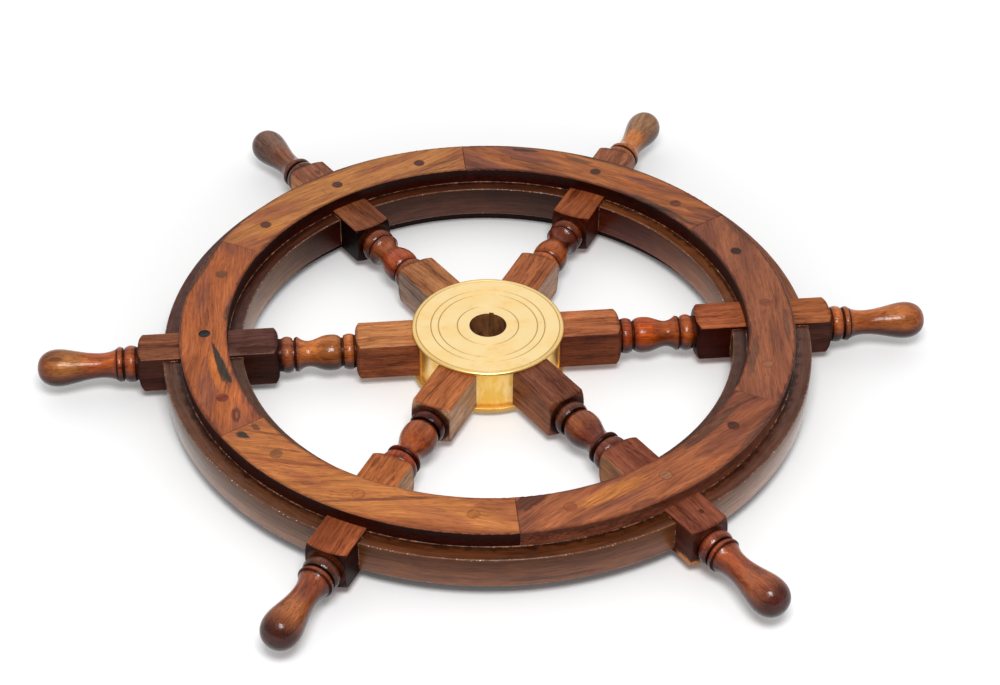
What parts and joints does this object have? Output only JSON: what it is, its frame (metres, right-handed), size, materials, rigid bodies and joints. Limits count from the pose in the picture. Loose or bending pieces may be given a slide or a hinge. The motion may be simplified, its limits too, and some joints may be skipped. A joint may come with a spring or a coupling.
{
  "type": "ship steering wheel",
  "caption": "Wooden ship's steering wheel with turned spokes that end in handles, a felloe rim faced on both sides, and a keyed brass hub.",
  "frame": {"origin": "centre of the shaft bore, in the middle plane of the spokes, felloes and rim", "axes": "+Z along the shaft out of the front face (the face with the engraved plate); +X along spoke_1; the spokes follow each other by equal angles about +Z"},
  "size_m": [0.61, 0.5322, 0.045],
  "materials": {
    "turned_wood": "gloss varnish",
    "felloe_wood": "gloss varnish",
    "facing_wood": "satin varnish",
    "plug_wood": "satin varnish",
    "dowel_wood": "plain",
    "black_pitch": "gloss",
    "hub_brass": "polished",
    "screw_brass": "satin"
  },
  "bodies": {
    "root": {"spoke_1": "turned_wood", "spoke_2": "turned_wood", "spoke_3": "turned_wood", "spoke_4": "turned_wood", "spoke_5": "turned_wood", "spoke_6": "turned_wood", "felloe_1": "felloe_wood", "felloe_2": "felloe_wood", "felloe_3": "felloe_wood", "felloe_4": "felloe_wood", "felloe_5": "felloe_wood", "felloe_6": "felloe_wood", "front_facing_1": "facing_wood", "front_facing_2": "facing_wood", "front_facing_3": "facing_wood", "front_facing_4": "facing_wood", "front_facing_5": "facing_wood", "front_facing_6": "facing_wood", "back_facing_1": "facing_wood", "back_facing_2": "facing_wood", "back_facing_3": "facing_wood", "back_facing_4": "facing_wood", "back_facing_5": "facing_wood", "back_facing_6": "facing_wood", "front_plugs": "plug_wood", "back_plugs": "plug_wood", "pitch_stopping": "black_pitch", "front_screws": "screw_brass", "back_screws": "screw_brass", "felloe_dowels": "dowel_wood", "hub_body": "hub_brass", "hub_back_plate": "hub_brass", "hub_screws": "screw_brass"}
  },
  "joints": []
}
